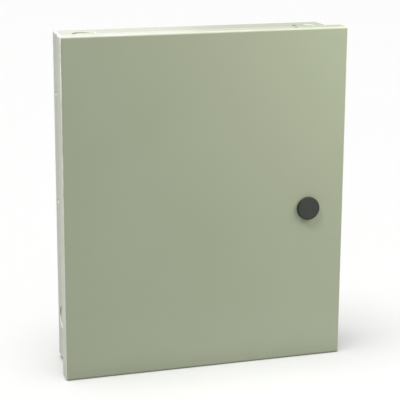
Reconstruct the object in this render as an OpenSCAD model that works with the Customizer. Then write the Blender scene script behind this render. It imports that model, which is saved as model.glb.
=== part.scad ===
// Wall-mount sheet-steel equipment cabinet with a wrap-over hinged door.
// Frame: X to the right seen from the front, Y to the back, Z up, millimetres.
// The origin is under the middle of the whole object, on the surface it stands on.

/* [Door] */
// Overall width of the door, outside
door_w = 314; // [294:1:360]
// Overall height of the door, outside
door_h = 370; // [340:1:420]
// Thickness of the door sheet
door_t = 1.2; // [1.0:0.1:1.5]
// Depth of the folded returns, from the door's face
return_d = 18; // [16:0.5:20]
// Outside radius of the folds between the face and the returns
fold_r = 2; // [1.8:0.1:2.4]
// Outside radius of the ground corners between two returns
corner_r = 2.6; // [2.5:0.1:3.2]

/* [Body] */
// Depth from the door's face to the back of the body
depth = 78; // [72:1:110]
// Thickness of the body sheet
body_t = 1.2; // [1.0:0.1:1.5]
// Overhang of the door past the body on the hinge side
over_left = 8; // [7.8:0.1:9]
// Overhang of the door past the body on the latch side
over_right = 5.3; // [4:0.1:7]
// Overhang of the door above the body
over_top = 3.9; // [3:0.1:5]
// Overhang of the door below the body
over_bottom = 3; // [2:0.5:4]
// Clear space between the door's inside face and the front flanges
door_gap = 2.2; // [2.1:0.1:2.6]
// Width of the turned-in front flanges
flange_w = 18; // [15:0.5:18]

/* [Knockouts and holes] */
// Diameter of a knockout
knock_d = 25.5; // [20.5:0.5:28]
// How far a knockout's slug is pressed in
knock_in = 0.8; // [0.6:0.05:0.9]
// Width of the sheared ring round the slug
knock_ring = 0.4; // [0.3:0.05:0.6]
// Radius of the rolled edge round a knockout
knock_roll = 0.7; // [0.3:0.1:0.7]
// Distance of the top and bottom knockouts from the door's face
knock_y = 46; // [40:1:56]
// Distance of the top and bottom knockouts from the body's sides
knock_edge = 27.5; // [20:0.5:70]
// Distance of the side knockouts from the door's face
side_knock_y = 55; // [44:1:56]
// Height of the side knockouts
knock_z = 52.5; // [40:0.5:80]
// Depth of the countersunk edge of the small holes
hole_sink = 0.9; // [0.4:0.1:0.9]
// Diameter of the small hole in the door's top return
return_hole_d = 3.6; // [2:0.1:4.4]
// Distance of the small return hole from the door's right edge
return_hole_x = 55; // [40:1:90]
// Distance of the small return hole from the door's face
return_hole_y = 10; // [8:0.5:11]
// Diameter of the small side holes
side_hole_d = 3.4; // [3:0.1:4.4]
// Distance of the small side holes from the door's face
side_hole_y = 66; // [50:1:68]
// Height of the lower small side hole
side_hole_low = 183; // [120:0.5:200]
// Height of the upper small side hole
side_hole_high = 301; // [220:0.5:310]
// Diameter of the wall-fixing holes in the back
wall_hole_d = 6.5; // [5:0.1:8]
// Spacing of the wall-fixing holes across
wall_dx = 220; // [180:1:230]
// Spacing of the wall-fixing holes up and down
wall_dz = 300; // [290:1:306]

/* [Hinges] */
// Radius of a hinge barrel
barrel_r = 2.7; // [2.6:0.1:2.8]
// Length of one half barrel
barrel_l = 22; // [16:1:30]
// Radius of a hinge pin
pin_r = 1.6; // [1.4:0.1:1.7]
// Running clearance between pin and door barrel, on the radius
pin_play = 0.05; // [0.03:0.01:0.08]
// Height of the lower hinge's parting
hinge_low = 72; // [60:1:90]
// Height of the upper hinge's parting
hinge_high = 298; // [280:1:310]

/* [Latch] */
// Distance of the latch from the door's right edge
latch_edge = 41.6; // [41:0.1:44]
// Latch height above the door's bottom
latch_z = 172; // [140:0.5:230]
// Diameter of the knob's disc
knob_d = 25.5; // [25:0.5:28]
// How far the knob stands out from the door's face
knob_out = 4; // [3.8:0.1:6]
// Reach of the cam from the latch's axis
cam_reach = 25; // [24:0.5:26]
// Width of the cam
cam_w = 14; // [12:0.5:15]

/* [Inside] */
// Width of the mounting plate
plate_w = 232; // [200:1:236]
// Height of the mounting plate
plate_h = 252; // [200:1:256]
// Thickness of the mounting plate
plate_t = 1.5; // [1.2:0.1:2]
// Depth of the plate's folded long edges
plate_edge = 7; // [5:0.5:8]
// Space between the back and the mounting plate
plate_off = 10; // [8:0.5:14]

/* [Hidden] */
$fn = 64;
e = 0.01;

// Door's face and back of the body, with the whole depth centred on the origin
yf = -(depth + knob_out) / 2 + knob_out;
yb = yf + depth;

// Outside planes of the body
bx0 = -door_w / 2 + over_left;
bx1 = door_w / 2 - over_right;
bz0 = over_bottom;
bz1 = door_h - over_top;
by0 = yf + door_t + door_gap;
bw = bx1 - bx0;
bh = bz1 - bz0;
bd = yb - by0;
bcx = (bx0 + bx1) / 2;
bcz = (bz0 + bz1) / 2;

// Hinge axis, in the space between the door's left return and the body's left wall
hx = (-door_w / 2 + door_t + bx0) / 2;
hy = yf + return_d - 0.5;

// Latch axis, and stations of the latch along Y
latch_x = door_w / 2 - latch_edge;
cam_t = 2.5;
cam_crank = 1.5;
cam_gap = 1.2;
y_bush = yf - 1.2;
y_wash = yf + door_t;
y_nut = y_wash + 0.9;
y_cam = by0 + body_t + cam_gap + cam_crank;
y_bush_end = y_cam - 0.4;
y_screw = y_cam + cam_t;

// Mounting plate and its studs
plate_y = yb - body_t - plate_off - plate_t;
stud_dx = plate_w - 36;
stud_dz = plate_h - 36;
stud_r = 3;

// Earth points
earth_x = bcx - 60;
earth_z = bz0 + 30;
dearth_x = -door_w / 2 + 50;
dearth_z = 44;

paint = [0.65, 0.67, 0.58];
black = [0.16, 0.17, 0.16];
zinc = [0.72, 0.73, 0.72];
steel = [0.55, 0.56, 0.57];
brass = [0.75, 0.62, 0.32];

// ---------- shared shapes ----------

// Rectangle from (0,0) with any of its corners rounded: [low-left, low-right, high-right, high-left]
module round_rect(w, h, r, on = [1, 1, 1, 1]) {
  difference() {
    square([w, h]);
    if (on[0]) corner_cut(0, 0, r, 0);
    if (on[1]) corner_cut(w, 0, r, 90);
    if (on[2]) corner_cut(w, h, r, 180);
    if (on[3]) corner_cut(0, h, r, 270);
  }
}

// What a round corner takes away from a square one
module corner_cut(x, y, r, turn) {
  translate([x, y]) rotate(turn) difference() {
    translate([-1, -1]) square([r + 1, r + 1]);
    translate([r, r]) circle(r);
  }
}

// Block with folded edges: front and back folds in plan and in side view, ground corners in front view
module folded_block(w, d, h, rf, rb, rc) {
  intersection() {
    linear_extrude(h) difference() {
      square([w, d]);
      if (rf > 0) { corner_cut(0, 0, rf, 0); corner_cut(w, 0, rf, 90); }
      if (rb > 0) { corner_cut(w, d, rb, 180); corner_cut(0, d, rb, 270); }
    }
    rotate([90, 0, 90]) linear_extrude(w) difference() {
      square([d, h]);
      if (rf > 0) { corner_cut(0, 0, rf, 0); corner_cut(0, h, rf, 270); }
      if (rb > 0) { corner_cut(d, 0, rb, 90); corner_cut(d, h, rb, 180); }
    }
    translate([0, d, 0]) rotate([90, 0, 0]) linear_extrude(d) round_rect(w, h, rc);
  }
}

// Cylinder along +Y from y0 to y1
module rod_y(r, x, y0, y1, z) {
  translate([x, y0, z]) rotate([-90, 0, 0]) cylinder(r = r, h = y1 - y0);
}

// Ring along +Y
module ring_y(ro, ri, x, y0, y1, z) {
  difference() {
    rod_y(ro, x, y0, y1, z);
    rod_y(ri, x, y0 - 1, y1 + 1, z);
  }
}

// Hexagon nut along +Y with chamfered corners
module nut_y(af, ri, x, y0, y1, z) {
  difference() {
    intersection() {
      translate([x, y0, z]) rotate([-90, 30, 0]) cylinder(r = af / sqrt(3), h = y1 - y0, $fn = 6);
      translate([x, y0, z]) rotate([-90, 0, 0]) rotate_extrude()
        polygon([[0, 0], [af / 2 - 0.1, 0], [af / 2 + 1.3, 0.8], [af / 2 + 1.3, y1 - y0 - 0.8], [af / 2 - 0.1, y1 - y0], [0, y1 - y0]]);
    }
    rod_y(ri, x, y0 - 1, y1 + 1, z);
  }
}

// Weld stud along -Y from a wall face at y0, with a chamfered tip
module stud_y(r, x, y0, length, z) {
  translate([x, y0, z]) rotate([90, 0, 0]) rotate_extrude()
    polygon([[0, 0], [r + 1, 0], [r + 1, 0.8], [r, 0.8], [r, length - 0.8], [r - 0.8, length], [0, length]]);
}

// ---------- body ----------

// Small hole with a countersunk edge, along +Z with the wall's outside face at z = 0
module sunk_hole(d, t) {
  translate([0, 0, -t - 1]) cylinder(d = d, h = t + 2);
  translate([0, 0, -hole_sink]) cylinder(r1 = d / 2, r2 = d / 2 + hole_sink + 1, h = hole_sink + 1);
}

// Ring slot with a rolled edge, and the slug pressed in from it on two tabs, along +Z with the wall's outside face at z = 0
module knock_slot() {
  translate([0, 0, -body_t - 1]) cylinder(d = knock_d, h = body_t + 2);
  rotate_extrude() difference() {
    translate([0, -knock_roll]) square([knock_d / 2 + knock_roll, knock_roll + 1]);
    translate([knock_d / 2 + knock_roll, -knock_roll]) circle(knock_roll);
  }
}
module knock_slug() {
  translate([0, 0, -body_t - knock_in]) cylinder(r = knock_d / 2 - knock_ring, h = body_t);
  for (a = [0, 180]) rotate(a)
    translate([knock_d / 2 - knock_ring - 0.6, -1.6, -body_t]) cube([knock_ring + 1.2, 3.2, body_t - knock_in]);
}

// Places a knockout, given along +Z, on the top, bottom, left or right wall
module on_top(s) { translate([bcx + s * (bw / 2 - knock_edge), yf + knock_y, bz1]) rotate(40) children(); }
module on_bottom(s) { translate([bcx + s * (bw / 2 - knock_edge), yf + knock_y, bz0]) mirror([0, 0, 1]) rotate(40) children(); }
module on_left() { translate([bx0, yf + side_knock_y, knock_z]) rotate([0, -90, 0]) rotate(40) children(); }
module on_right() { translate([bx1, yf + side_knock_y, knock_z]) rotate([0, 90, 0]) rotate(40) children(); }
module each_knock() {
  on_top(-1) children();
  on_top(1) children();
  on_bottom(-1) children();
  on_bottom(1) children();
  on_left() children();
  on_right() children();
}

module cabinet_body() color(paint) {
  difference() {
    translate([bx0, by0, bz0]) folded_block(bw, bd, bh, fold_r, fold_r, corner_r);
    // inside
    translate([bx0 + body_t, by0 + body_t, bz0 + body_t])
      folded_block(bw - 2 * body_t, bd - 2 * body_t, bh - 2 * body_t, fold_r - body_t, fold_r - body_t, corner_r - body_t);
    // front opening between the flanges
    translate([bx0 + flange_w, by0 - 1, bz0 + flange_w]) translate([0, body_t + 2, 0]) rotate([90, 0, 0])
      linear_extrude(body_t + 2) round_rect(bw - 2 * flange_w, bh - 2 * flange_w, 1.5);
    // mitre slits between neighbouring flanges
    for (sx = [-1, 1], sz = [-1, 1])
      translate([bcx + sx * (bw / 2 - flange_w), by0 - 0.5, bcz + sz * (bh / 2 - flange_w)])
        rotate([0, -sx * sz * 45, 0]) translate([sx > 0 ? -3 : 3 - (flange_w - 4) * sqrt(2), 0, -0.25]) cube([(flange_w - 4) * sqrt(2), body_t + 0.6, 0.5]);
    each_knock() knock_slot();
    // small holes in both side walls
    for (z = [side_hole_low, side_hole_high]) {
      translate([bx0, yf + side_hole_y, z]) rotate([0, -90, 0]) sunk_hole(side_hole_d, body_t);
      translate([bx1, yf + side_hole_y, z]) rotate([0, 90, 0]) sunk_hole(side_hole_d, body_t);
    }
    // wall-fixing holes
    for (sx = [-1, 1], sz = [-1, 1])
      rod_y(wall_hole_d / 2, bcx + sx * wall_dx / 2, yb - body_t - 1, yb + 1, bcz + sz * wall_dz / 2);
    // hanging keyhole
    rod_y(5.5, bcx, yb - body_t - 1, yb + 1, bcz + wall_dz / 2 - 4);
    rod_y(2.6, bcx, yb - body_t - 1, yb + 1, bcz + wall_dz / 2 + 8);
    translate([bcx - 2.6, yb - body_t - 1, bcz + wall_dz / 2 - 4]) cube([5.2, body_t + 2, 12]);
  }
  each_knock() knock_slug();
}

// ---------- inside ----------

module plate_spots() {
  for (sx = [-1, 1], sz = [-1, 1]) translate([bcx + sx * stud_dx / 2, 0, bcz + sz * stud_dz / 2]) children();
}

module mounting_plate() color(zinc) difference() {
  translate([bcx - plate_w / 2, plate_y - plate_edge, bcz - plate_h / 2]) linear_extrude(plate_h) difference() {
    round_rect(plate_w, plate_edge + plate_t, 2, [0, 0, 1, 1]);
    translate([plate_t, -1]) round_rect(plate_w - 2 * plate_t, plate_edge + 1, 0.5, [0, 0, 1, 1]);
  }
  plate_spots() rod_y(stud_r + 0.4, 0, plate_y - 1, plate_y + plate_t + 1, 0);
  // rows of small fixing holes
  for (ix = [-3:3], iz = [-4:4]) rod_y(1.75, bcx + ix * 24, plate_y - 1, plate_y + plate_t + 1, bcz + iz * 24);
}

module plate_studs() color(steel) plate_spots()
  translate([0, yb - body_t, 0]) rotate([90, 0, 0]) rotate_extrude()
    polygon([[0, 0], [5.5, 0], [5.5, plate_off], [stud_r, plate_off], [stud_r, plate_off + 10.4], [stud_r - 0.7, plate_off + 11.1], [0, plate_off + 11.1]]);

module plate_washers() color(zinc) plate_spots() ring_y(6.2, stud_r + 0.2, 0, plate_y - 1.2, plate_y, 0);

module plate_nuts() color(zinc) plate_spots() nut_y(10, stud_r, 0, plate_y - 6.2, plate_y - 1.2, 0);

module earth_stud() color(brass) stud_y(stud_r, earth_x, yb - body_t, 16, earth_z);
module earth_washer() color(brass) ring_y(6.2, stud_r + 0.2, earth_x, yb - body_t - 2.4, yb - body_t - 1.2, earth_z);
module earth_nut() color(brass) nut_y(10, stud_r, earth_x, yb - body_t - 7.4, yb - body_t - 2.4, earth_z);

module door_bumpers() color(black) for (z = [92, 278])
  translate([bx1 - 9, by0, z]) rotate([90, 0, 0]) rotate_extrude()
    polygon([[0, 0], [4.5, 0], [4.5, 0.8], [3.6, door_gap - 0.5], [2.6, door_gap - 0.4], [0, door_gap - 0.4]]);

// ---------- hinges ----------

hinge_gap = 0.3;
washer_t = 0.8;

// Half barrel with a flat foot against a wall: side -1 towards the door's return, +1 towards the body
module barrel(z0, bore, side, foot_to, y0, y1) {
  difference() {
    union() {
      translate([hx, hy, z0]) cylinder(r = barrel_r, h = barrel_l);
      translate([side < 0 ? foot_to : hx, hy + y0, z0]) cube([abs(foot_to - hx), y1 - y0, barrel_l]);
    }
    translate([hx, hy, z0 - 1]) cylinder(r = bore, h = barrel_l + 2);
  }
}
module body_barrel(z) barrel(z - barrel_l, pin_r, 1, bx0, 0.4 - barrel_r, barrel_r - 1.4);
module door_barrel(z) barrel(z + washer_t + hinge_gap, pin_r + pin_play, -1, -door_w / 2 + door_t, 0.4 - barrel_r, 0.4);
module hinge_pin(z) translate([hx, hy, z - barrel_l]) rotate_extrude()
  polygon([[0, 0], [pin_r - 0.5, 0], [pin_r, 0.5], [pin_r, 2 * barrel_l + 0.5], [pin_r - 0.5, 2 * barrel_l + 1], [0, 2 * barrel_l + 1]]);
module hinge_washer(z) translate([hx, hy, z]) difference() {
  cylinder(r = barrel_r + 0.3, h = washer_t);
  translate([0, 0, -1]) cylinder(r = pin_r + 0.05, h = washer_t + 2);
}

module body_hinge_barrel_upper() color(paint) body_barrel(hinge_high);
module body_hinge_barrel_lower() color(paint) body_barrel(hinge_low);
module door_hinge_barrel_upper() color(paint) door_barrel(hinge_high);
module door_hinge_barrel_lower() color(paint) door_barrel(hinge_low);
module hinge_pin_upper() color(steel) hinge_pin(hinge_high);
module hinge_pin_lower() color(steel) hinge_pin(hinge_low);
module hinge_washer_upper() color(brass) hinge_washer(hinge_high);
module hinge_washer_lower() color(brass) hinge_washer(hinge_low);

// ---------- door ----------

// Round outline with two flats, which keeps the bush from turning
module flatted(r, flat) {
  intersection() {
    circle(r);
    square([2 * flat, 4 * r], center = true);
  }
}

module door_panel() color(paint) difference() {
  translate([-door_w / 2, yf, 0]) folded_block(door_w, return_d, door_h, fold_r, 0, corner_r);
  translate([-door_w / 2 + door_t, yf + door_t, door_t])
    folded_block(door_w - 2 * door_t, return_d + 5, door_h - 2 * door_t, fold_r - door_t, 0, corner_r - door_t);
  translate([latch_x, yf + door_t + 1, latch_z]) rotate([90, 0, 0]) linear_extrude(door_t + 2) flatted(9.15, 7.65);
  // small hole in the top return
  translate([door_w / 2 - return_hole_x, yf + return_hole_y, door_h]) sunk_hole(return_hole_d, door_t);
}

module latch_bush() color(black) difference() {
  union() {
    rod_y(11, latch_x, y_bush, yf, latch_z);
    translate([latch_x, y_bush_end, latch_z]) rotate([90, 0, 0]) linear_extrude(y_bush_end - yf) flatted(9, 7.5);
  }
  rod_y(5.05, latch_x, y_bush - 1, y_bush_end + 1, latch_z);
}

module latch_washer() color(zinc) ring_y(13, 9.1, latch_x, y_wash, y_nut, latch_z);
module latch_nut() color(zinc) nut_y(24, 9.05, latch_x, y_nut, y_nut + 3.6, latch_z);

module door_earth_stud() color(brass)
  translate([dearth_x, yf + door_t, dearth_z]) mirror([0, 1, 0]) stud_y(2.5, 0, 0, 12, 0);
module door_earth_washer() color(brass) ring_y(5, 2.7, dearth_x, yf + door_t + 1, yf + door_t + 2, dearth_z);
module door_earth_nut() color(brass) nut_y(8, 2.5, dearth_x, yf + door_t + 2, yf + door_t + 6, dearth_z);

// ---------- latch ----------

module latch_knob() color(black) translate([latch_x, yf, latch_z]) difference() {
  union() {
    // disc with a rounded rim and a skirt that covers the bush's flange
    rotate([90, 0, 0]) rotate_extrude() difference() {
      translate([0, 0.4]) square([knob_d / 2, knob_out - 0.4]);
      translate([0, -1]) square([11.4, 2.5]);
      translate([knob_d / 2, knob_out]) rotate(180) difference() {
        translate([-1, -1]) square([2.4, 2.4]);
        translate([1.4, 1.4]) circle(1.4);
      }
    }
    rod_y(5, 0, -2, y_bush_end - yf + 0.2, 0);
    translate([-3.5, y_bush_end - yf, -3.5]) cube([7, y_screw - y_bush_end, 7]);
  }
  rod_y(2, 0, 3, y_screw - yf + 1, 0);
}

// Cranked tongue, pointing down at rest so that the door is free
module latch_cam() color(zinc) translate([latch_x, y_cam, latch_z]) difference() {
  union() {
    rod_y(cam_w / 2 + 1, 0, 0, cam_t, 0);
    translate([-cam_w / 2, 0, -19]) cube([cam_w, cam_t, 19]);
    translate([-cam_w / 2, -cam_crank, -19]) cube([cam_w, cam_t + cam_crank, 2.6]);
    translate([-cam_w / 2, -cam_crank, -cam_reach + 3]) cube([cam_w, cam_t, cam_reach - 3 - 17]);
    translate([-cam_w / 2 + 3, -cam_crank, -cam_reach]) cube([cam_w - 6, cam_t, 5]);
    for (s = [-1, 1]) rod_y(3, s * (cam_w / 2 - 3), -cam_crank, cam_t - cam_crank, -cam_reach + 3);
  }
  translate([-3.5, -1, -3.5]) cube([7, cam_t + 2, 7]);
}

module cam_washer() color(zinc) ring_y(6.5, 2.2, latch_x, y_screw, y_screw + 0.9, latch_z);

module cam_screw() color(zinc) difference() {
  union() {
    rod_y(2, latch_x, yf + 4, y_screw + 1, latch_z);
    translate([latch_x, y_screw + 0.9, latch_z]) rotate([-90, 0, 0]) rotate_extrude()
      polygon([[0, 0], [4, 0], [4, 1.4], [3.2, 2.2], [0, 2.5]]);
  }
  // cross recess
  for (a = [0, 90]) translate([latch_x, y_screw + 2.4, latch_z]) rotate([0, a, 0]) translate([-2.2, 0, -0.5]) cube([4.4, 2, 1]);
}

// ---------- drawing ----------

cabinet_body();
mounting_plate();
plate_studs();
plate_washers();
plate_nuts();
earth_stud();
earth_washer();
earth_nut();
door_bumpers();
body_hinge_barrel_upper();
body_hinge_barrel_lower();
hinge_pin_upper();
hinge_pin_lower();
hinge_washer_upper();
hinge_washer_lower();
door_panel();
door_hinge_barrel_upper();
door_hinge_barrel_lower();
latch_bush();
latch_washer();
latch_nut();
door_earth_stud();
door_earth_washer();
door_earth_nut();
latch_knob();
latch_cam();
cam_washer();
cam_screw();
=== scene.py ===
import math

import bpy
from mathutils import Matrix, Vector


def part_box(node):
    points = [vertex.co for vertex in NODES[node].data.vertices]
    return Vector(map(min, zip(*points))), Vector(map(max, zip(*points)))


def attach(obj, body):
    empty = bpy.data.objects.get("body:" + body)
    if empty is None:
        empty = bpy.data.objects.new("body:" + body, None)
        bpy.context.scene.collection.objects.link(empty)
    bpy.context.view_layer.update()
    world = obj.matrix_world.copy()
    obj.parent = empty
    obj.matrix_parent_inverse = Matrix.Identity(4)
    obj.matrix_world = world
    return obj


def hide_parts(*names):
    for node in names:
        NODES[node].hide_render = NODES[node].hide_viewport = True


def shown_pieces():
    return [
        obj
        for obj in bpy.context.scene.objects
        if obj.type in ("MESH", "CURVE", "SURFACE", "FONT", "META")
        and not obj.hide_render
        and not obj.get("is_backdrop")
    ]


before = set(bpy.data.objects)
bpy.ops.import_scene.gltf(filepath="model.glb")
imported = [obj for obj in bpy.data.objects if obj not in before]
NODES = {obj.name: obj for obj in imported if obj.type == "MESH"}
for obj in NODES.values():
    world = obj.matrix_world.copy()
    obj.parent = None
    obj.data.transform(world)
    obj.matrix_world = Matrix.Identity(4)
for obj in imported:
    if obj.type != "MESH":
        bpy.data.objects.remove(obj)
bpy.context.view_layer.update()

scene = bpy.context.scene
scene.view_settings.view_transform = "Standard"
scene.view_settings.look = "None"
scene.view_settings.exposure = 0.0
scene.view_settings.gamma = 1.0

MM = 0.001


# ---------------------------------------------------------------- camera

def add_camera():
    cam = bpy.data.cameras.new("camera")
    cam.sensor_width = 36.0
    cam.lens = 125.76
    cam.clip_start = 0.05
    cam.clip_end = 50.0
    yaw, pitch, roll = (math.radians(a) for a in (17.4209, 14.3675, 0.3139))
    right = Vector((math.cos(yaw), -math.sin(yaw), 0.0))
    ahead = Vector((math.sin(yaw) * math.cos(pitch), math.cos(yaw) * math.cos(pitch), -math.sin(pitch)))
    up = right.cross(ahead)
    r2 = math.cos(roll) * right + math.sin(roll) * up
    u2 = -math.sin(roll) * right + math.cos(roll) * up
    m = Matrix((r2, u2, -ahead)).transposed().to_4x4()
    m.translation = Vector((-0.44165, -1.41751, 0.56051))
    obj = bpy.data.objects.new("camera", cam)
    scene.collection.objects.link(obj)
    obj.matrix_world = m
    scene.camera = obj


add_camera()


# ---------------------------------------------------------------- node helpers

class Nodes:
    """A material's node tree, with short calls for the nodes used here."""

    def __init__(self, name):
        self.mat = bpy.data.materials.new(name)
        self.mat.use_nodes = True
        self.t = self.mat.node_tree
        self.t.nodes.clear()
        self.out = self.t.nodes.new("ShaderNodeOutputMaterial")
        self.bsdf = self.t.nodes.new("ShaderNodeBsdfPrincipled")
        self.t.links.new(self.bsdf.outputs["BSDF"], self.out.inputs["Surface"])
        self.coord = self.t.nodes.new("ShaderNodeTexCoord").outputs["Object"]

    def put(self, socket, value):
        if hasattr(value, "is_linked"):
            self.t.links.new(value, socket)
        else:
            socket.default_value = value

    def set(self, **values):
        for k, v in values.items():
            self.put(self.bsdf.inputs[k.replace("_", " ")], v)

    def mapped(self, scale=(1, 1, 1), rotation=(0, 0, 0), location=(0, 0, 0)):
        n = self.t.nodes.new("ShaderNodeMapping")
        self.t.links.new(self.coord, n.inputs["Vector"])
        n.inputs["Scale"].default_value = scale
        n.inputs["Rotation"].default_value = rotation
        n.inputs["Location"].default_value = location
        return n.outputs["Vector"]

    def noise(self, scale, detail=2.0, rough=0.5, distort=0.0, vec=None):
        n = self.t.nodes.new("ShaderNodeTexNoise")
        self.t.links.new(vec if vec is not None else self.coord, n.inputs["Vector"])
        n.inputs["Scale"].default_value = scale
        n.inputs["Detail"].default_value = detail
        n.inputs["Roughness"].default_value = rough
        n.inputs["Distortion"].default_value = distort
        return n.outputs["Fac"]

    def voronoi(self, scale, vec=None, feature="F1", out="Color"):
        n = self.t.nodes.new("ShaderNodeTexVoronoi")
        n.feature = feature
        self.t.links.new(vec if vec is not None else self.coord, n.inputs["Vector"])
        n.inputs["Scale"].default_value = scale
        return n.outputs[out]

    def span(self, value, a0, a1, b0, b1, smooth=False):
        n = self.t.nodes.new("ShaderNodeMapRange")
        n.interpolation_type = "SMOOTHSTEP" if smooth else "LINEAR"
        self.t.links.new(value, n.inputs["Value"])
        for k, v in (("From Min", a0), ("From Max", a1), ("To Min", b0), ("To Max", b1)):
            n.inputs[k].default_value = v
        return n.outputs["Result"]

    def math(self, op, a, b=0.0):
        n = self.t.nodes.new("ShaderNodeMath")
        n.operation = op
        self.put(n.inputs[0], a)
        self.put(n.inputs[1], b)
        return n.outputs["Value"]

    def mix(self, fac, a, b):
        n = self.t.nodes.new("ShaderNodeMix")
        n.data_type = "RGBA"
        self.put(n.inputs["Factor"], fac)
        self.put(n.inputs[6], a if hasattr(a, "is_linked") else (*a, 1.0))
        self.put(n.inputs[7], b if hasattr(b, "is_linked") else (*b, 1.0))
        return n.outputs[2]

    def xyz(self, vec=None):
        n = self.t.nodes.new("ShaderNodeSeparateXYZ")
        self.t.links.new(vec if vec is not None else self.coord, n.inputs["Vector"])
        return n.outputs["X"], n.outputs["Y"], n.outputs["Z"]

    def bump(self, height, distance, strength=1.0, after=None):
        n = self.t.nodes.new("ShaderNodeBump")
        n.inputs["Strength"].default_value = strength
        n.inputs["Distance"].default_value = distance
        self.t.links.new(height, n.inputs["Height"])
        if after is not None:
            self.t.links.new(after, n.inputs["Normal"])
        return n.outputs["Normal"]

    def off_axis(self, a, b, keep):
        """Distance in metres from an axis-parallel line through (a, b); keep names the two coordinates."""
        c = dict(zip("xyz", self.xyz()))
        d0 = self.math("SUBTRACT", c[keep[0]], a)
        d1 = self.math("SUBTRACT", c[keep[1]], b)
        return self.math("SQRT", self.math("ADD", self.math("MULTIPLY", d0, d0), self.math("MULTIPLY", d1, d1)))


# ---------------------------------------------------------------- materials

PAINT_A = (0.226, 0.254, 0.173)
PAINT_B = (0.240, 0.266, 0.186)
PAINT_HIGHLIGHT = (0.640, 0.655, 0.580)
PAINT_BRIGHTEST = (0.840, 0.850, 0.770)


def ring_mask(n, keep, centre, r0, r1, side, half=None):
    """Mask of a ring of radii r0 to r1 about an axis-parallel line, on one side of a plane, and on one half of the ring."""
    d = n.off_axis(centre[0], centre[1], keep)
    mask = n.math("MULTIPLY", n.span(d, r0 - 0.0001, r0 + 0.0001, 0.0, 1.0, True), n.span(d, r1 - 0.0001, r1 + 0.0001, 1.0, 0.0, True))
    c = dict(zip("xyz", n.xyz()))
    axis, limit, sign = side
    mask = n.math("MULTIPLY", mask, n.math("GREATER_THAN" if sign > 0 else "LESS_THAN", c[axis], limit))
    if half is not None:
        axis, at, soft = half
        mask = n.math("MULTIPLY", mask, n.span(c[axis], at - abs(soft), at + abs(soft), 0.0 if soft > 0 else 1.0, 1.0 if soft > 0 else 0.0, True))
    return mask


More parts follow.
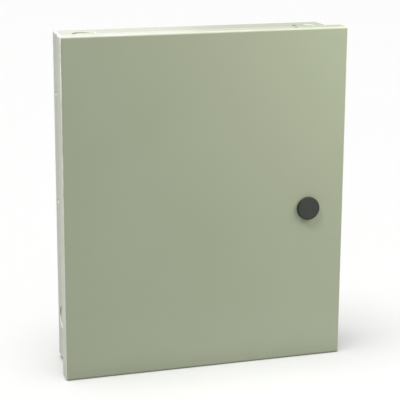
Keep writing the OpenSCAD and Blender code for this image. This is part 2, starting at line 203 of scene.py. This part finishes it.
def paint(name, bare=None, folds=None, gloss=(0.285, 0.335), haze=0.18, highlight_rims=(), shaded_rings=()):
    """Satin powder coat. bare = (x, z, radius, y_low, y_high) leaves a ring of clean steel round an earth stud.
    folds = (x_low, x_high, z_high, y_front) are the planes on whose folds a paler colour is mixed in as a painted
    highlight.
    highlight_rims are rings of an edge with a painted highlight, shaded_rings are rings of an edge with painted
    shade, darker and rougher."""
    n = Nodes(name)
    broad = n.noise(9.0, 3.0, 0.55)
    fine = n.noise(700.0, 2.0, 0.6)
    tone = n.math("ADD", n.span(broad, 0.3, 0.7, 0.1, 0.80), n.span(fine, 0.3, 0.7, 0.0, 0.12))
    colour = n.mix(tone, PAINT_A, PAINT_B)
    rough = n.span(n.noise(60.0, 2.0, 0.5), 0.25, 0.75, gloss[0], gloss[1], True)
    metal = 0.0
    peel = n.noise(430.0, 1.5, 0.45)
    grain = n.noise(2600.0, 1.0, 0.5)
    if folds is not None:
        x_low, x_high, z_high, y_front = folds
        x, y, z = n.xyz()
        jitter = n.span(n.noise(120.0, 3.0, 0.6), 0.3, 0.7, -0.0002, 0.0002)
        side = n.math("ADD", n.math("MINIMUM", n.math("SUBTRACT", x, x_low), n.math("SUBTRACT", x_high, x)), jitter)
        top = n.math("ADD", n.math("SUBTRACT", z_high, z), jitter)
        # painted highlight on the side folds, strongest near the top
        side_highlight = n.math("MULTIPLY", n.span(side, 0.0001, 0.0009, 1.0, 0.0, True), n.span(z, 0.10, 0.36, 0.45, 1.0))
        along = n.math("MULTIPLY", n.span(top, 0.0012, 0.0027, 1.0, 0.0, True), n.span(x, -0.10, 0.15, 0.50, 0.25))
        near = n.math("MAXIMUM", side_highlight, along)
        back = n.math("ADD", n.math("SUBTRACT", y, y_front), jitter)
        fold_highlight = n.math("MULTIPLY", near, n.span(back, 0.0014, 0.0030, 1.0, 0.0, True))
        # painted highlight on the upper face of the top return, fading towards both ends
        reach = n.math("MINIMUM", n.span(x, -0.12, 0.02, 0.06, 0.20), n.span(x, 0.06, 0.13, 0.20, 0.08))
        return_highlight = n.math("MULTIPLY", n.span(top, 0.0003, 0.0007, 1.0, 0.0, True), reach)
        fold_highlight = n.math("MAXIMUM", fold_highlight, return_highlight)
        fold_highlight = n.math("MULTIPLY", fold_highlight, n.span(n.noise(55.0, 3.0, 0.6), 0.3, 0.7, 0.80, 1.0))
        # painted highlight, palest near the top of the side folds
        brightest_highlight = n.math("MULTIPLY", side_highlight, n.span(z, 0.28, 0.345, 0.0, 1.0, True))
        colour = n.mix(fold_highlight, colour, n.mix(brightest_highlight, PAINT_HIGHLIGHT, PAINT_BRIGHTEST))
    # painted highlight on the lit half of each rim
    for spec in highlight_rims:
        colour = n.mix(n.math("MULTIPLY", ring_mask(n, *spec), 0.85), colour, PAINT_HIGHLIGHT)
    # painted shade: a dark, rough colour on one half of each ring
    for spec in shaded_rings:
        shade_mask = n.math("MULTIPLY", ring_mask(n, *spec), 0.9)
        colour = n.mix(shade_mask, colour, (0.045, 0.047, 0.045))
        rough = n.math("MAXIMUM", rough, shade_mask)
    if bare is not None:
        x, z, radius, y_low, y_high = bare
        edge = n.math("ADD", n.off_axis(x, z, "xz"), n.span(n.noise(900.0, 2.0), 0.3, 0.7, -0.0002, 0.0002))
        disc = n.span(edge, radius - 0.00015, radius + 0.00015, 1.0, 0.0, True)
        y = n.xyz()[1]
        inside = n.math("MULTIPLY", n.math("GREATER_THAN", y, y_low), n.math("LESS_THAN", y, y_high))
        mask = n.math("MULTIPLY", disc, inside)
        brushed = n.noise(300.0, 3.0, 0.6, vec=n.mapped(scale=(1.0, 1.0, 12.0)))
        steel = n.mix(n.span(brushed, 0.3, 0.7, 0.0, 1.0), (0.42, 0.42, 0.42), (0.56, 0.56, 0.55))
        colour = n.mix(mask, colour, steel)
        metal = mask
    n.set(Base_Color=colour, Roughness=rough, Metallic=metal, IOR=1.5, Specular_IOR_Level=0.5)
    n.set(Sheen_Weight=haze, Sheen_Roughness=0.35, Sheen_Tint=(0.97, 0.93, 1.0, 1.0))
    n.set(Normal=n.bump(grain, 0.0000012, 1.0, n.bump(peel, 0.000006, 1.0)))
    return n.mat


def galvanised(name):
    n = Nodes(name)
    warp = n.noise(60.0, 2.0, 0.5)
    base = n.mapped(scale=(1.0, 1.0, 0.8))
    mixed = n.t.nodes.new("ShaderNodeVectorMath")
    mixed.operation = "MULTIPLY_ADD"
    n.t.links.new(base, mixed.inputs[0])
    mixed.inputs[1].default_value = (1.0, 1.0, 1.0)
    joined = n.t.nodes.new("ShaderNodeCombineXYZ")
    for k in "XYZ":
        n.t.links.new(n.span(warp, 0.0, 1.0, -0.004, 0.004), joined.inputs[k])
    n.t.links.new(joined.outputs["Vector"], mixed.inputs[2])
    cell = n.voronoi(95.0, vec=mixed.outputs["Vector"])
    shade = n.xyz(cell)[0]
    small = n.xyz(n.voronoi(240.0, vec=mixed.outputs["Vector"]))[1]
    feather = n.noise(900.0, 4.0, 0.65, distort=1.5)
    tone = n.math("ADD", n.math("MULTIPLY", shade, 0.55), n.math("ADD", n.math("MULTIPLY", small, 0.25), n.math("MULTIPLY", feather, 0.2)))
    n.set(Base_Color=n.mix(tone, (0.40, 0.415, 0.425), (0.66, 0.675, 0.68)), Metallic=1.0)
    n.set(Roughness=n.span(tone, 0.0, 1.0, 0.50, 0.30))
    n.set(Normal=n.bump(tone, 0.00002, 1.0, n.bump(feather, 0.000012)))
    return n.mat


def plated(name, dark, light, r0, r1, grain=(1.0, 1.0, 1.0)):
    """Plated or plain turned metal: cloudy tone, fine tool lines along one way, small pits."""
    n = Nodes(name)
    cloud = n.noise(120.0, 3.0, 0.6)
    lines = n.noise(1500.0, 3.0, 0.6, vec=n.mapped(scale=grain))
    pits = n.noise(3200.0, 2.0, 0.6)
    tone = n.math("ADD", n.math("MULTIPLY", cloud, 0.6), n.math("MULTIPLY", lines, 0.4))
    n.set(Base_Color=n.mix(n.span(tone, 0.3, 0.7, 0.0, 1.0), dark, light), Metallic=1.0)
    n.set(Roughness=n.span(lines, 0.3, 0.7, r0, r1))
    n.set(Normal=n.bump(pits, 0.000006, 1.0, n.bump(lines, 0.000008)))
    return n.mat


def black_plastic(name, axis):
    """Moulded plastic: a finely textured grey-black face, and a rim round the axis (x, z) painted blacker as shade
    on its rounded edge, and a little rougher.
    """
    n = Nodes(name)
    spark = n.noise(3800.0, 3.0, 0.6)
    cloud = n.noise(140.0, 2.0, 0.5)
    # painted shade: the rounded rim is coloured blacker
    rim = n.span(n.off_axis(axis[0], axis[1], "xz"), 0.0110, 0.0117, 0.0, 1.0, True)
    face = n.mix(n.math("ADD", n.math("MULTIPLY", spark, 0.5), n.math("MULTIPLY", cloud, 0.5)), (0.021, 0.025, 0.020), (0.031, 0.036, 0.030))
    n.set(Base_Color=n.mix(rim, face, (0.016, 0.018, 0.012)))
    n.set(Roughness=n.math("ADD", n.span(spark, 0.3, 0.7, 0.50, 0.62), n.math("MULTIPLY", rim, 0.06)))
    n.set(Specular_IOR_Level=0.25)
    n.set(Normal=n.bump(spark, 0.00001, 1.0, n.bump(cloud, 0.00003)))
    return n.mat


def rubber(name):
    n = Nodes(name)
    grain = n.noise(2200.0, 3.0, 0.6)
    bloom = n.noise(350.0, 3.0, 0.6)
    n.set(Base_Color=n.mix(n.span(bloom, 0.35, 0.7, 0.0, 1.0), (0.018, 0.018, 0.018), (0.034, 0.034, 0.033)))
    n.set(Roughness=n.span(grain, 0.3, 0.7, 0.72, 0.88), Specular_IOR_Level=0.3)
    n.set(Normal=n.bump(grain, 0.00002))
    return n.mat


def floor_finish(name):
    n = Nodes(name)
    cloud = n.noise(3.0, 2.0, 0.5)
    n.set(Base_Color=n.mix(cloud, (0.93, 0.93, 0.925), (0.945, 0.945, 0.943)))
    n.set(Roughness=n.span(n.noise(40.0, 2.0), 0.3, 0.7, 0.62, 0.72), Specular_IOR_Level=0.2)
    return n.mat


# Places that several pieces share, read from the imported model
def middle(node):
    lo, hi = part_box(node)
    return (lo + hi) / 2


EARTH = middle("earth_washer")
DOOR_EARTH = middle("door_earth_washer")
LATCH = middle("latch_washer")
BODY_LO, BODY_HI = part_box("cabinet_body")
DOOR_LO, DOOR_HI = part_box("door_panel")

# painted highlight on the rolled edges of the knockouts and of each small side hole, on the half that faces the
# light
HIGHLIGHT_RIMS = []
for side in (("x", BODY_LO.x + 1.5 * MM, -1), ("x", BODY_HI.x - 1.5 * MM, 1)):
    HIGHLIGHT_RIMS.append(("yz", (DOOR_LO.y + 55 * MM, 52.5 * MM), 12.7 * MM, 13.45 * MM, side, ("z", 51.5 * MM, -2.5 * MM)))
    for z in (183 * MM, 301 * MM):
        HIGHLIGHT_RIMS.append(("yz", (DOOR_LO.y + 66 * MM, z), 1.6 * MM, 2.6 * MM, side, ("z", z - 0.2 * MM, -0.5 * MM)))
SHADED_GROOVES = []
for x in (BODY_LO.x + 27.5 * MM, BODY_HI.x - 27.5 * MM):
    HIGHLIGHT_RIMS.append(("xy", (x, DOOR_LO.y + 46 * MM), 12.75 * MM, 13.2 * MM, ("z", BODY_HI.z - 1.5 * MM, 1), ("x", x + 5 * MM, 4 * MM)))
    # painted shade in the left half of the groove, the half turned from the light
    SHADED_GROOVES.append(("xy", (x, DOOR_LO.y + 46 * MM), 12.2 * MM, 13.1 * MM, ("z", BODY_HI.z - 1.5 * MM, 1), ("x", x - 5 * MM, -4 * MM)))
# painted shade on the left half of the edge of the small hole in the door's top return
SHADED_HOLE_EDGE = [("xy", (DOOR_HI.x - 55 * MM, DOOR_LO.y + 10 * MM), 0.0, 3.1 * MM, ("z", DOOR_HI.z - 1.5 * MM, 1), ("x", DOOR_HI.x - 53.9 * MM, -0.8 * MM))]

M = {
    "paint": paint("cabinet_paint_plain"),
    "paint_body": paint("cabinet_paint_body", (EARTH.x, EARTH.z, 0.0095, BODY_HI.y - 0.0016, BODY_HI.y - 0.0006),
                        gloss=(0.36, 0.44), haze=0.17, highlight_rims=HIGHLIGHT_RIMS, shaded_rings=SHADED_GROOVES),
    "paint_door": paint("cabinet_paint_door", (DOOR_EARTH.x, DOOR_EARTH.z, 0.0080, DOOR_LO.y + 0.0006, DOOR_LO.y + 0.0016),
                        (DOOR_LO.x, DOOR_HI.x, DOOR_HI.z, DOOR_LO.y), shaded_rings=SHADED_HOLE_EDGE),
    "galvanised": galvanised("galvanised_sheet"),
    "zinc": plated("zinc_plated", (0.56, 0.57, 0.58), (0.74, 0.74, 0.72), 0.28, 0.38),
    "zinc_cam": plated("zinc_plated_cam", (0.55, 0.56, 0.56), (0.72, 0.72, 0.69), 0.28, 0.42, (1.0, 1.0, 0.15)),
    "steel": plated("plain_steel", (0.36, 0.37, 0.38), (0.52, 0.53, 0.54), 0.28, 0.42),
    "brass": plated("plain_brass", (0.56, 0.40, 0.15), (0.78, 0.60, 0.27), 0.28, 0.40),
    "black": black_plastic("black_plastic_knob", (LATCH.x, LATCH.z)),
    "rubber": rubber("soft_rubber"),
    "floor": floor_finish("pale_floor"),
}

FINISH = {
    "cabinet_body": "paint_body",
    "door_panel": "paint_door",
    "body_hinge_barrel_upper": "paint",
    "body_hinge_barrel_lower": "paint",
    "door_hinge_barrel_upper": "paint",
    "door_hinge_barrel_lower": "paint",
    "mounting_plate": "galvanised",
    "plate_studs": "steel",
    "plate_washers": "zinc",
    "plate_nuts": "zinc",
    "earth_stud": "brass",
    "earth_washer": "brass",
    "earth_nut": "brass",
    "door_earth_stud": "brass",
    "door_earth_washer": "brass",
    "door_earth_nut": "brass",
    "hinge_pin_upper": "steel",
    "hinge_pin_lower": "steel",
    "hinge_washer_upper": "brass",
    "hinge_washer_lower": "brass",
    "door_bumpers": "rubber",
    "latch_bush": "black",
    "latch_knob": "black",
    "latch_washer": "zinc",
    "latch_nut": "zinc",
    "latch_cam": "zinc_cam",
    "cam_washer": "zinc",
    "cam_screw": "zinc",
}
for node, key in FINISH.items():
    mesh = NODES[node].data
    mesh.materials.clear()
    mesh.materials.append(M[key])


# ---------------------------------------------------------------- mesh helpers

def add_piece(name, verts, faces, body, slot, finish, sharp=35.0):
    mesh = bpy.data.meshes.new(name)
    mesh.from_pydata(verts, [], faces)
    mesh.validate()
    mesh.update()
    mesh.materials.append(M[finish])
    obj = bpy.data.objects.new(name, mesh)
    scene.collection.objects.link(obj)
    mesh.shade_smooth()
    mesh.set_sharp_from_angle(angle=math.radians(sharp))
    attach(obj, body)
    return obj


def skin(rings, loop=False):
    """Closed skin over rings of equally many points: capped at both ends, or joined end to start."""
    n = len(rings[0])
    verts = [p for ring in rings for p in ring]
    faces = []
    last = len(rings) if loop else len(rings) - 1
    for i in range(last):
        a, b = i * n, ((i + 1) % len(rings)) * n
        for j in range(n):
            k = (j + 1) % n
            faces.append((a + j, a + k, b + k, b + j))
    if not loop:
        c0 = [sum(p[i] for p in rings[0]) / n for i in range(3)]
        c1 = [sum(p[i] for p in rings[-1]) / n for i in range(3)]
        verts += [c0, c1]
        top = (len(rings) - 1) * n
        for j in range(n):
            k = (j + 1) % n
            faces.append((len(verts) - 2, k, j))
            faces.append((len(verts) - 1, top + j, top + k))
    return verts, faces


def joined(parts):
    verts, faces = [], []
    for v, f in parts:
        base = len(verts)
        verts += v
        faces += [tuple(i + base for i in q) for q in f]
    return verts, faces


def thread_radius(s, turn, major, pitch, depth):
    """Radius of a cut thread at station s and angle turn (in turns): flat crest, sloped flanks, flat root."""
    f = (s / pitch - turn) % 1.0
    t = abs(2.0 * f - 1.0)
    return major - depth * (1.0 - min(1.0, max(0.0, (t - 0.16) / 0.68)))


def lathe_y(x, z, y0, sign, stations, steps=48):
    """Rings about a line along Y. Each station is (distance from y0, radius or a function of the turn)."""
    rings = []
    for s, r in stations:
        ring = []
        for j in range(steps):
            a = j / steps
            rad = r(a) if callable(r) else r
            ring.append((x + rad * math.cos(2 * math.pi * a), y0 + sign * s, z + sign * rad * math.sin(2 * math.pi * a)))
        rings.append(ring)
    return rings


def threaded(s0, s1, major, pitch, depth, tip, per=10):
    """Stations of a thread from s0 to s1, its last bit tapered to radius tip."""
    out = []
    count = int(round((s1 - s0) / pitch * per))
    for i in range(count + 1):
        s = s0 + (s1 - s0) * i / count
        most = tip + (s1 - s) * 1.1
        def radius(turn, s=s, most=most):
            start = min(1.0, (s - s0) / pitch)
            r = thread_radius(s, turn, major, pitch, depth * start)
            return min(r, most)
        out.append((s, radius))
    return out


# ---------------------------------------------------------------- threaded studs

def stud_group(name, node, spots, y0, sign, profile, body, slot, finish):
    parts = [skin(lathe_y(x, z, y0, sign, profile)) for x, z in spots]
    verts, faces = joined(parts)
    obj = add_piece(name, verts, faces, body, slot, finish)
    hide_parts(node)
    return obj


ps_lo, ps_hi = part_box("plate_studs")
wall_y = ps_hi.y
spots = [(x, z) for x in (ps_lo.x + 5.5 * MM, ps_hi.x - 5.5 * MM) for z in (ps_lo.z + 5.5 * MM, ps_hi.z - 5.5 * MM)]
spacer = wall_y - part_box("mounting_plate")[1].y
total = ps_hi.y - ps_lo.y
stud_group(
    "plate_stud_threads", "plate_studs", spots, wall_y, -1.0,
    [(0.0, 5.3 * MM), (0.25 * MM, 5.5 * MM), (spacer - 0.3 * MM, 5.5 * MM), (spacer, 5.2 * MM), (spacer, 2.62 * MM)]
    + threaded(spacer + 0.02 * MM, total, 3.0 * MM, 1.0 * MM, 0.56 * MM, 2.2 * MM),
    "cabinet", "steel", "steel")

es_lo, es_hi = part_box("earth_stud")
stud_group(
    "earth_stud_thread", "earth_stud", [(EARTH.x, EARTH.z)], es_hi.y, -1.0,
    [(0.0, 3.9 * MM), (0.1 * MM, 4.0 * MM), (0.6 * MM, 4.0 * MM), (0.8 * MM, 3.8 * MM), (0.8 * MM, 2.62 * MM)]
    + threaded(0.82 * MM, es_hi.y - es_lo.y, 3.0 * MM, 1.0 * MM, 0.56 * MM, 2.2 * MM),
    "cabinet", "brass", "brass")

ds_lo, ds_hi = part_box("door_earth_stud")
stud_group(
    "door_earth_stud_thread", "door_earth_stud", [(DOOR_EARTH.x, DOOR_EARTH.z)], ds_lo.y, 1.0,
    [(0.0, 3.4 * MM), (0.1 * MM, 3.5 * MM), (0.6 * MM, 3.5 * MM), (0.8 * MM, 3.3 * MM), (0.8 * MM, 2.2 * MM)]
    + threaded(0.82 * MM, ds_hi.y - ds_lo.y, 2.5 * MM, 0.8 * MM, 0.45 * MM, 1.8 * MM),
    "door", "brass", "brass")


# ---------------------------------------------------------------- weld beads

def bead(p0, p1, r, seed, pitch=1.5 * MM, sides=14):
    """Rippled weld bead along p0-p1, a rounded rod with overlapping scales and blunt ends."""
    p0, p1 = Vector(p0), Vector(p1)
    along = (p1 - p0).normalized()
    side = along.orthogonal().normalized()
    other = along.cross(side)
    length = (p1 - p0).length
    count = max(12, int(length / (0.16 * MM)))
    rings = []
    for i in range(count + 1):
        s = length * i / count
        end = min(s, length - s) / (1.1 * r)
        cap = math.sqrt(max(0.0, 1.0 - (1.0 - min(1.0, end)) ** 2)) * 0.98 + 0.02
        wander = 0.06 * r * math.sin(s / (4.1 * MM) + seed) + 0.04 * r * math.sin(s / (1.7 * MM) + 2.3 * seed)
        ring = []
        for j in range(sides):
            a = 2 * math.pi * j / sides
            f = ((s + 0.35 * pitch * math.cos(2 * a + seed)) / pitch + 0.13 * math.sin(s / (2.9 * MM) + seed)) % 1.0
            scale = 0.86 + 0.14 * math.sqrt(max(0.0, 1.0 - (1.0 - f) ** 2))
            rad = r * cap * scale
            ring.append(tuple(p0 + along * s + side * (rad * math.cos(a) + wander) + other * (rad * math.sin(a) + wander * 0.5)))
        rings.append(ring)
    return skin(rings)


def hinge_beads():
    for level in ("upper", "lower"):
        lo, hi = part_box("body_hinge_barrel_" + level)
        wall = BODY_LO.x
        seed = 1.3 if level == "upper" else 4.7
        parts = [
            bead((wall - 0.15 * MM, hi.y - 1.4 * MM + 0.15 * MM, lo.z + 0.6 * MM), (wall - 0.15 * MM, hi.y - 1.4 * MM + 0.15 * MM, hi.z - 0.6 * MM), 0.85 * MM, seed),
            bead((wall - 0.15 * MM, lo.y + 0.4 * MM - 0.15 * MM, lo.z + 0.6 * MM), (wall - 0.15 * MM, lo.y + 0.4 * MM - 0.15 * MM, hi.z - 0.6 * MM), 0.85 * MM, seed + 1.9),
        ]
        add_piece("body_hinge_weld_" + level, *joined(parts), "cabinet", "cabinet_paint", "paint", 80.0)
        lo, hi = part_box("door_hinge_barrel_" + level)
        wall = lo.x
        parts = [
            bead((wall + 0.15 * MM, lo.y + 0.4 * MM - 0.15 * MM, lo.z + 0.6 * MM), (wall + 0.15 * MM, lo.y + 0.4 * MM - 0.15 * MM, hi.z - 0.6 * MM), 0.85 * MM, seed + 3.1),
        ]
        add_piece("door_hinge_weld_" + level, *joined(parts), "door", "cabinet_paint", "paint", 80.0)


hinge_beads()


def corner_beads():
    """Seam welds inside the corners of the door's returns, and tacks inside the corners of the body."""
    t = 1.2 * MM
    parts = []
    for ix, x in enumerate((DOOR_LO.x + t + 0.25 * MM, DOOR_HI.x - t - 0.25 * MM)):
        for iz, z in enumerate((DOOR_LO.z + t + 0.25 * MM, DOOR_HI.z - t - 0.25 * MM)):
            parts.append(bead((x, DOOR_LO.y + 2.2 * MM, z), (x, DOOR_HI.y - 0.9 * MM, z), 0.8 * MM, 1.0 + 2.2 * ix + 3.7 * iz))
    add_piece("door_corner_welds", *joined(parts), "door", "cabinet_paint", "paint", 80.0)
    parts = []
    for ix, x in enumerate((BODY_LO.x + t + 0.25 * MM, BODY_HI.x - t - 0.25 * MM)):
        for iz, z in enumerate((BODY_LO.z + t + 0.25 * MM, BODY_HI.z - t - 0.25 * MM)):
            for k, y in enumerate((BODY_LO.y + 5 * MM, BODY_LO.y + 31 * MM, BODY_HI.y - 15 * MM)):
                parts.append(bead((x, y, z), (x, y + 10 * MM, z), 0.8 * MM, 0.7 + 1.9 * ix + 2.9 * iz + 4.3 * k))
    add_piece("body_corner_welds", *joined(parts), "cabinet", "cabinet_paint", "paint", 80.0)


corner_beads()


# ---------------------------------------------------------------- floor and light

def add_floor():
    size, z = 40.0, 0.0
    mesh = bpy.data.meshes.new("floor")
    h = size / 2
    mesh.from_pydata([(-h, -h, z), (h, -h, z), (h, h, z), (-h, h, z)], [], [(0, 1, 2, 3)])
    mesh.materials.append(M["floor"])
    obj = bpy.data.objects.new("floor", mesh)
    scene.collection.objects.link(obj)
    obj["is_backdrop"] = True


add_floor()


def add_area(name, place, aim, size, power, colour):
    light = bpy.data.lights.new(name, "AREA")
    light.shape = "DISK"
    light.size = size
    light.energy = power
    light.color = colour
    obj = bpy.data.objects.new(name, light)
    scene.collection.objects.link(obj)
    obj.location = place
    obj.rotation_euler = (Vector(aim) - Vector(place)).to_track_quat("-Z", "Y").to_euler()
    obj.visible_camera = False
    return obj


def add_sun(name, toward, strength, angle, colour):
    light = bpy.data.lights.new(name, "SUN")
    light.energy = strength
    light.angle = math.radians(angle)
    light.color = colour
    obj = bpy.data.objects.new(name, light)
    scene.collection.objects.link(obj)
    obj.rotation_euler = Vector(toward).to_track_quat("-Z", "Y").to_euler()
    return obj


# light that the floor and the object share
add_sun("overhead_fill", (0.12, 0.10, -1.0), 2.30, 40.0, (1.0, 1.0, 1.0))

# lights on the object alone, so that the pale floor stays even
LIT = bpy.data.collections.new("lit_pieces")
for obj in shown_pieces():
    LIT.objects.link(obj)


def only_pieces(light):
    light.light_linking.receiver_collection = LIT
    return light


# large soft light from the upper left, a little in front
only_pieces(add_sun("key_left", (0.46, 0.26, -0.84), 2.66, 9.0, (1.0, 0.99, 1.0)))


def add_panel(name, place, aim, width, height, power):
    obj = only_pieces(add_area(name, place, aim, width, power, (0.97, 0.94, 1.0)))
    obj.data.shape = "RECTANGLE"
    obj.data.size_y = height


# soft panels behind, which lie as sheen on the top and fade to the right
add_panel("panel_behind", (0.05, 1.0, 0.64), (-0.05, 0.0, 0.37), 0.50, 0.40, 0.62)
add_panel("panel_behind_left", (-0.30, 1.0, 0.70), (-0.05, 0.0, 0.37), 0.60, 0.60, 3.9)
add_panel("panel_behind_high", (-0.10, 0.8, 1.1), (-0.05, 0.0, 0.37), 0.70, 0.50, 3.6)
# warm light close by on the right, which brightens the door towards its upper right corner
only_pieces(add_area("key_right", (0.55, -0.36, 0.62), (0.10, -0.03, 0.30), 0.45, 5.7, (1.0, 0.98, 0.94)))
# small reflector lying in front, which lifts the lowest part of the door
add_panel("low_card", (0.02, -0.115, 0.004), (0.02, -0.115, 1.0), 0.34, 0.12, 0.032)

world = bpy.data.worlds.new("studio")
scene.world = world
world.use_nodes = True
background = world.node_tree.nodes["Background"]
background.inputs["Color"].default_value = (1.0, 1.0, 1.0, 1.0)
background.inputs["Strength"].default_value = 0.37


# ---------------------------------------------------------------- update

bpy.context.view_layer.update()
